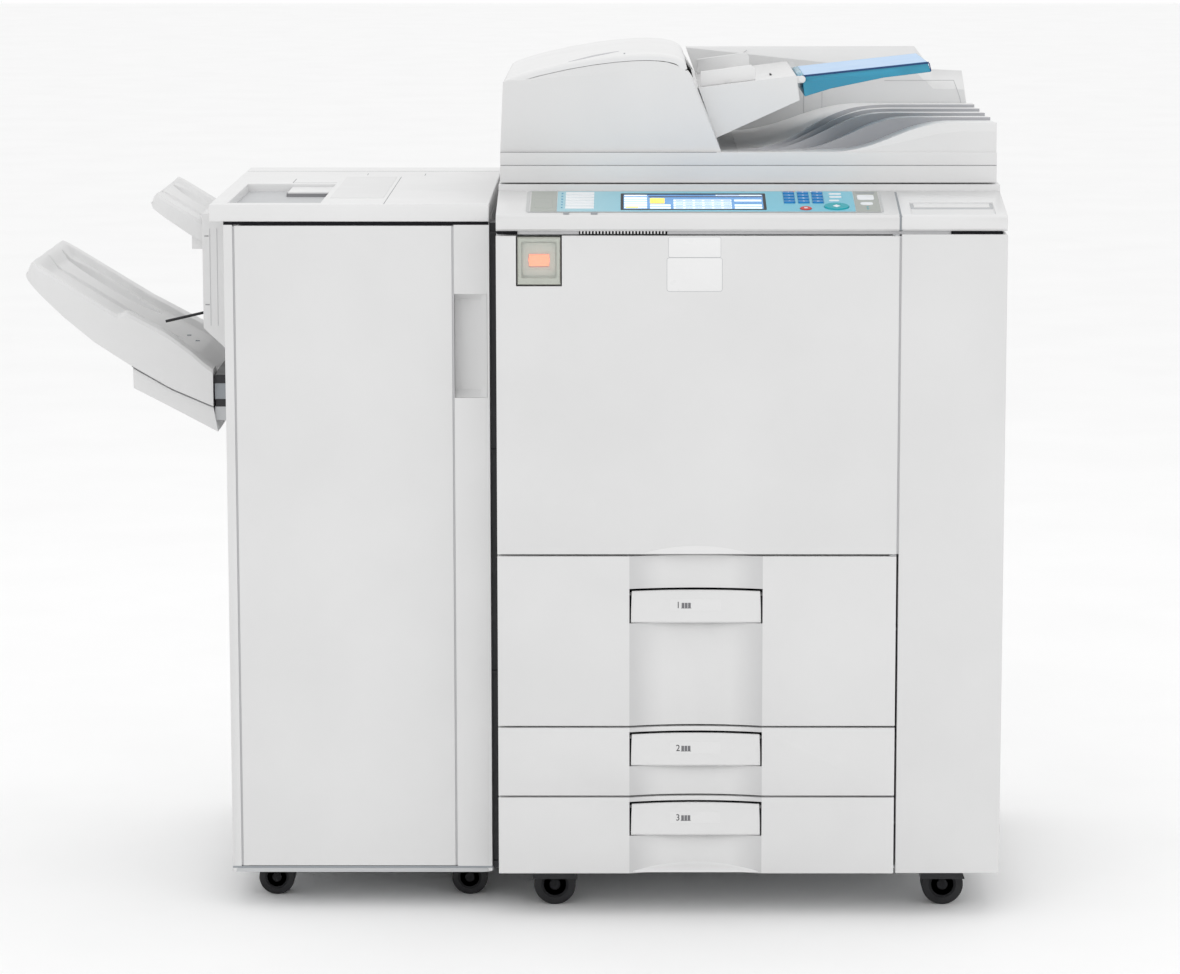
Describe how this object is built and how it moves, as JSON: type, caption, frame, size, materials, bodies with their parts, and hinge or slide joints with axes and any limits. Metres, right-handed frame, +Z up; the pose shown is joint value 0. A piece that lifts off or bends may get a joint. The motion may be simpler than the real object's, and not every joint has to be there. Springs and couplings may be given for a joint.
{
  "type": "photocopier",
  "caption": "Floor-standing office photocopier with front door, paper drawers, control panel, lifting document feeder and a side finisher with stacking trays, on casters.",
  "frame": {"origin": "middle of the whole machine's footprint, on the floor", "axes": "+Z up, +X to the right seen from the front, +Y to the back; the front faces -Y"},
  "size_m": [1.359, 0.673, 1.18],
  "materials": {
    "white_plastic": "fine textured, off white",
    "grey_plastic": "fine textured, mid grey",
    "dark_plastic": "fine textured, near black",
    "steel_sheet": "zinc plated sheet",
    "clear_flap": "clear, slightly green",
    "platen_glass": "clear",
    "screen": "glossy, with a soft glow",
    "blue_translucent": "translucent, satin",
    "key_blue": "satin",
    "key_teal": "satin",
    "key_red": "satin",
    "rocker_orange": "lit from inside",
    "rubber_black": "matt",
    "drum_green": "polished",
    "silicone_red": "smooth"
  },
  "bodies": {
    "machine": {"base_frame": "steel_sheet", "left_cover": "white_plastic", "right_cover": "white_plastic", "rear_cover": "white_plastic", "column_cover": "white_plastic", "inner_cover": "grey_plastic", "drawer_rails": "steel_sheet", "levelling_feet": "dark_plastic", "rear_caster_forks": "dark_plastic", "laser_unit": "dark_plastic", "power_inlet": "dark_plastic", "switch_bezel": "grey_plastic", "scanner_housing": "white_plastic", "exposure_glass": "platen_glass", "control_panel": "white_plastic", "panel_end_cap": "white_plastic", "touch_screen": "screen", "finisher_casing": "white_plastic", "upper_tray": "grey_plastic"},
    "feeder": {"feeder_base": "white_plastic", "feeder_exit_tray": "white_plastic", "feeder_housing": "white_plastic", "feeder_table": "white_plastic"},
    "front_door": {"front_door": "white_plastic"},
    "switch_flap": {"switch_flap": "clear_flap"},
    "power_rocker": {"power_rocker": "rocker_orange"},
    "number_keys": {"number_keys": "key_blue"},
    "start_key": {"start_key": "key_teal"},
    "stop_key": {"stop_key": "key_red"},
    "upper_drawer": {"upper_drawer": "white_plastic"},
    "middle_drawer": {"middle_drawer": "white_plastic"},
    "lower_drawer": {"lower_drawer": "white_plastic"},
    "upper_drawer_handle": {"upper_drawer_handle": "grey_plastic"},
    "middle_drawer_handle": {"middle_drawer_handle": "grey_plastic"},
    "lower_drawer_handle": {"lower_drawer_handle": "grey_plastic"},
    "bypass_tray": {"bypass_tray": "white_plastic"},
    "scan_carriage": {"scan_carriage": "dark_plastic"},
    "photoconductor_drum": {"photoconductor_drum": "drum_green"},
    "fuser_hot_roller": {"fuser_hot_roller": "steel_sheet"},
    "fuser_pressure_roller": {"fuser_pressure_roller": "silicone_red"},
    "toner_bottle": {"toner_bottle": "dark_plastic"},
    "left_caster_fork": {"left_caster_fork": "dark_plastic"},
    "right_caster_fork": {"right_caster_fork": "dark_plastic"},
    "left_caster_wheel": {"left_caster_wheel": "rubber_black"},
    "right_caster_wheel": {"right_caster_wheel": "rubber_black"},
    "rear_wheels": {"rear_wheels": "rubber_black"},
    "feeder_top_cover": {"feeder_top_cover": "white_plastic"},
    "feed_roller": {"feed_roller": "rubber_black"},
    "front_guide": {"front_guide": "white_plastic"},
    "rear_guide": {"rear_guide": "white_plastic"},
    "tray_extender": {"tray_extender": "blue_translucent"},
    "finisher_door": {"finisher_door": "white_plastic"},
    "finisher_lid": {"finisher_lid": "white_plastic"},
    "lower_tray": {"lower_tray": "grey_plastic"},
    "feeler_arm": {"feeler_arm": "dark_plastic"},
    "finisher_left_fork": {"finisher_left_fork": "dark_plastic"},
    "finisher_right_fork": {"finisher_right_fork": "dark_plastic"},
    "finisher_left_wheel": {"finisher_left_wheel": "rubber_black"},
    "finisher_right_wheel": {"finisher_right_wheel": "rubber_black"},
    "finisher_rear_wheels": {"finisher_rear_wheels": "rubber_black"}
  },
  "joints": [
    {"name": "front_door_hinge", "type": "hinge", "parent": "machine", "child": "front_door", "pos_m": [0.5295, -0.3325, 0.508], "axis": [0, 0, 1], "range_deg": [0, 110]},
    {"name": "switch_flap_hinge", "type": "hinge", "parent": "machine", "child": "switch_flap", "pos_m": [0.0475, -0.3355, 0.939], "axis": [-1, 0, 0], "range_deg": [0, 100]},
    {"name": "power_rocker_pivot", "type": "hinge", "parent": "machine", "child": "power_rocker", "pos_m": [0.0475, -0.3175, 0.909], "axis": [1, 0, 0], "range_deg": [-8, 8]},
    {"name": "number_keys_press", "type": "slide", "parent": "machine", "child": "number_keys", "axis": [0, 0.1736, -0.9848], "range_m": [0, 0.0015], "stiffness_N_per_m": 500, "springref_m": -0.002},
    {"name": "start_key_press", "type": "slide", "parent": "machine", "child": "start_key", "axis": [0, 0.1736, -0.9848], "range_m": [0, 0.0015], "stiffness_N_per_m": 500, "springref_m": -0.002},
    {"name": "stop_key_press", "type": "slide", "parent": "machine", "child": "stop_key", "axis": [0, 0.1736, -0.9848], "range_m": [0, 0.0015], "stiffness_N_per_m": 500, "springref_m": -0.002},
    {"name": "upper_drawer_slide", "type": "slide", "parent": "machine", "child": "upper_drawer", "axis": [0, -1, 0], "range_m": [0, 0.45]},
    {"name": "middle_drawer_slide", "type": "slide", "parent": "machine", "child": "middle_drawer", "axis": [0, -1, 0], "range_m": [0, 0.45]},
    {"name": "lower_drawer_slide", "type": "slide", "parent": "machine", "child": "lower_drawer", "axis": [0, -1, 0], "range_m": [0, 0.45]},
    {"name": "upper_drawer_handle_pivot", "type": "hinge", "parent": "upper_drawer", "child": "upper_drawer_handle", "pos_m": [0.2605, -0.3205, 0.45], "axis": [-1, 0, 0], "range_deg": [0, 12], "stiffness_Nm_per_rad": 0.4, "springref_deg": -17.19},
    {"name": "middle_drawer_handle_pivot", "type": "hinge", "parent": "middle_drawer", "child": "middle_drawer_handle", "pos_m": [0.2605, -0.3205, 0.25], "axis": [-1, 0, 0], "range_deg": [0, 12], "stiffness_Nm_per_rad": 0.4, "springref_deg": -17.19},
    {"name": "lower_drawer_handle_pivot", "type": "hinge", "parent": "lower_drawer", "child": "lower_drawer_handle", "pos_m": [0.2605, -0.3205, 0.152], "axis": [-1, 0, 0], "range_deg": [0, 12], "stiffness_Nm_per_rad": 0.4, "springref_deg": -17.19},
    {"name": "bypass_tray_hinge", "type": "hinge", "parent": "machine", "child": "bypass_tray", "pos_m": [0.6747, 0.0035, 0.571], "axis": [0, 1, 0], "range_deg": [0, 78]},
    {"name": "scan_carriage_slide", "type": "slide", "parent": "machine", "child": "scan_carriage", "axis": [1, 0, 0], "range_m": [0, 0.4]},
    {"name": "photoconductor_drum_turn", "type": "hinge", "parent": "machine", "child": "photoconductor_drum", "pos_m": [0.2895, -0.0165, 0.7089], "axis": [0, 1, 0], "continuous": true},
    {"name": "fuser_hot_roller_turn", "type": "hinge", "parent": "machine", "child": "fuser_hot_roller", "pos_m": [0.4595, -0.0165, 0.8189], "axis": [0, 1, 0], "continuous": true},
    {"name": "fuser_pressure_roller_turn", "type": "hinge", "parent": "machine", "child": "fuser_pressure_roller", "pos_m": [0.4595, -0.0165, 0.7769], "axis": [0, 1, 0], "continuous": true},
    {"name": "toner_bottle_turn", "type": "hinge", "parent": "machine", "child": "toner_bottle", "pos_m": [0.1395, -0.0165, 0.7989], "axis": [0, 1, 0], "continuous": true},
    {"name": "left_caster_swivel", "type": "hinge", "parent": "machine", "child": "left_caster_fork", "pos_m": [0.0835, -0.2565, 0.061], "axis": [0, 0, 1], "continuous": true},
    {"name": "left_caster_roll", "type": "hinge", "parent": "left_caster_fork", "child": "left_caster_wheel", "pos_m": [0.0655, -0.2565, 0.029], "axis": [0, 1, 0], "continuous": true},
    {"name": "right_caster_swivel", "type": "hinge", "parent": "machine", "child": "right_caster_fork", "pos_m": [0.6245, -0.2565, 0.061], "axis": [0, 0, 1], "continuous": true},
    {"name": "right_caster_roll", "type": "hinge", "parent": "right_caster_fork", "child": "right_caster_wheel", "pos_m": [0.6065, -0.2565, 0.029], "axis": [0, 1, 0], "continuous": true},
    {"name": "finisher_left_caster_swivel", "type": "hinge", "parent": "machine", "child": "finisher_left_fork", "pos_m": [-0.3095, -0.2015, 0.05], "axis": [0, 0, 1], "continuous": true},
    {"name": "finisher_left_caster_roll", "type": "hinge", "parent": "finisher_left_fork", "child": "finisher_left_wheel", "pos_m": [-0.3275, -0.2015, 0.025], "axis": [0, 1, 0], "continuous": true},
    {"name": "finisher_right_caster_swivel", "type": "hinge", "parent": "machine", "child": "finisher_right_fork", "pos_m": [-0.0375, -0.2015, 0.05], "axis": [0, 0, 1], "continuous": true},
    {"name": "finisher_right_caster_roll", "type": "hinge", "parent": "finisher_right_fork", "child": "finisher_right_wheel", "pos_m": [-0.0555, -0.2015, 0.025], "axis": [0, 1, 0], "continuous": true},
    {"name": "rear_wheels_roll", "type": "hinge", "parent": "machine", "child": "rear_wheels", "pos_m": [0.336, 0.2335, 0.029], "axis": [1, 0, 0], "continuous": true},
    {"name": "finisher_rear_wheels_roll", "type": "hinge", "parent": "machine", "child": "finisher_rear_wheels", "pos_m": [-0.1975, 0.2615, 0.025], "axis": [1, 0, 0], "continuous": true},
    {"name": "feeder_hinge", "type": "hinge", "parent": "machine", "child": "feeder", "pos_m": [0.3345, 0.2815, 1.012], "axis": [-1, 0, 0], "range_deg": [0, 70]},
    {"name": "feeder_top_cover_hinge", "type": "hinge", "parent": "feeder", "child": "feeder_top_cover", "pos_m": [0.0035, 0.0135, 1.147], "axis": [0, -1, 0], "range_deg": [0, 60]},
    {"name": "feed_roller_turn", "type": "hinge", "parent": "feeder", "child": "feed_roller", "pos_m": [0.2075, 0.0135, 1.138], "axis": [0, 1, 0], "continuous": true},
    {"name": "front_guide_slide", "type": "slide", "parent": "feeder", "child": "front_guide", "axis": [0, 1, 0], "range_m": [0, 0.08]},
    {"name": "rear_guide_slide", "type": "slide", "parent": "feeder", "child": "rear_guide", "axis": [0, 1, 0], "range_m": [-0.08, 0]},
    {"name": "tray_extender_hinge", "type": "hinge", "parent": "feeder", "child": "tray_extender", "pos_m": [0.4075, -0.0565, 1.1435], "axis": [0, -1, 0], "range_deg": [0, 85]},
    {"name": "finisher_door_hinge", "type": "hinge", "parent": "machine", "child": "finisher_door", "pos_m": [-0.3635, -0.2805, 0.5], "axis": [0, 0, -1], "range_deg": [0, 110]},
    {"name": "finisher_lid_hinge", "type": "hinge", "parent": "machine", "child": "finisher_lid", "pos_m": [-0.2005, 0.3365, 0.957], "axis": [-1, 0, 0], "range_deg": [0, 70]},
    {"name": "lower_tray_slide", "type": "slide", "parent": "machine", "child": "lower_tray", "axis": [0, 0, -1], "range_m": [0, 0.35]},
    {"name": "feeler_arm_pivot", "type": "hinge", "parent": "machine", "child": "feeler_arm", "pos_m": [-0.4305, -0.0365, 0.806], "axis": [0, 1, 0], "range_deg": [0, 30]}
  ],
  "couplings": [
    {"joint": "rear_guide_slide", "follows": "front_guide_slide", "ratio": -1},
    {"joint": "fuser_pressure_roller_turn", "follows": "fuser_hot_roller_turn", "ratio": -1}
  ]
}
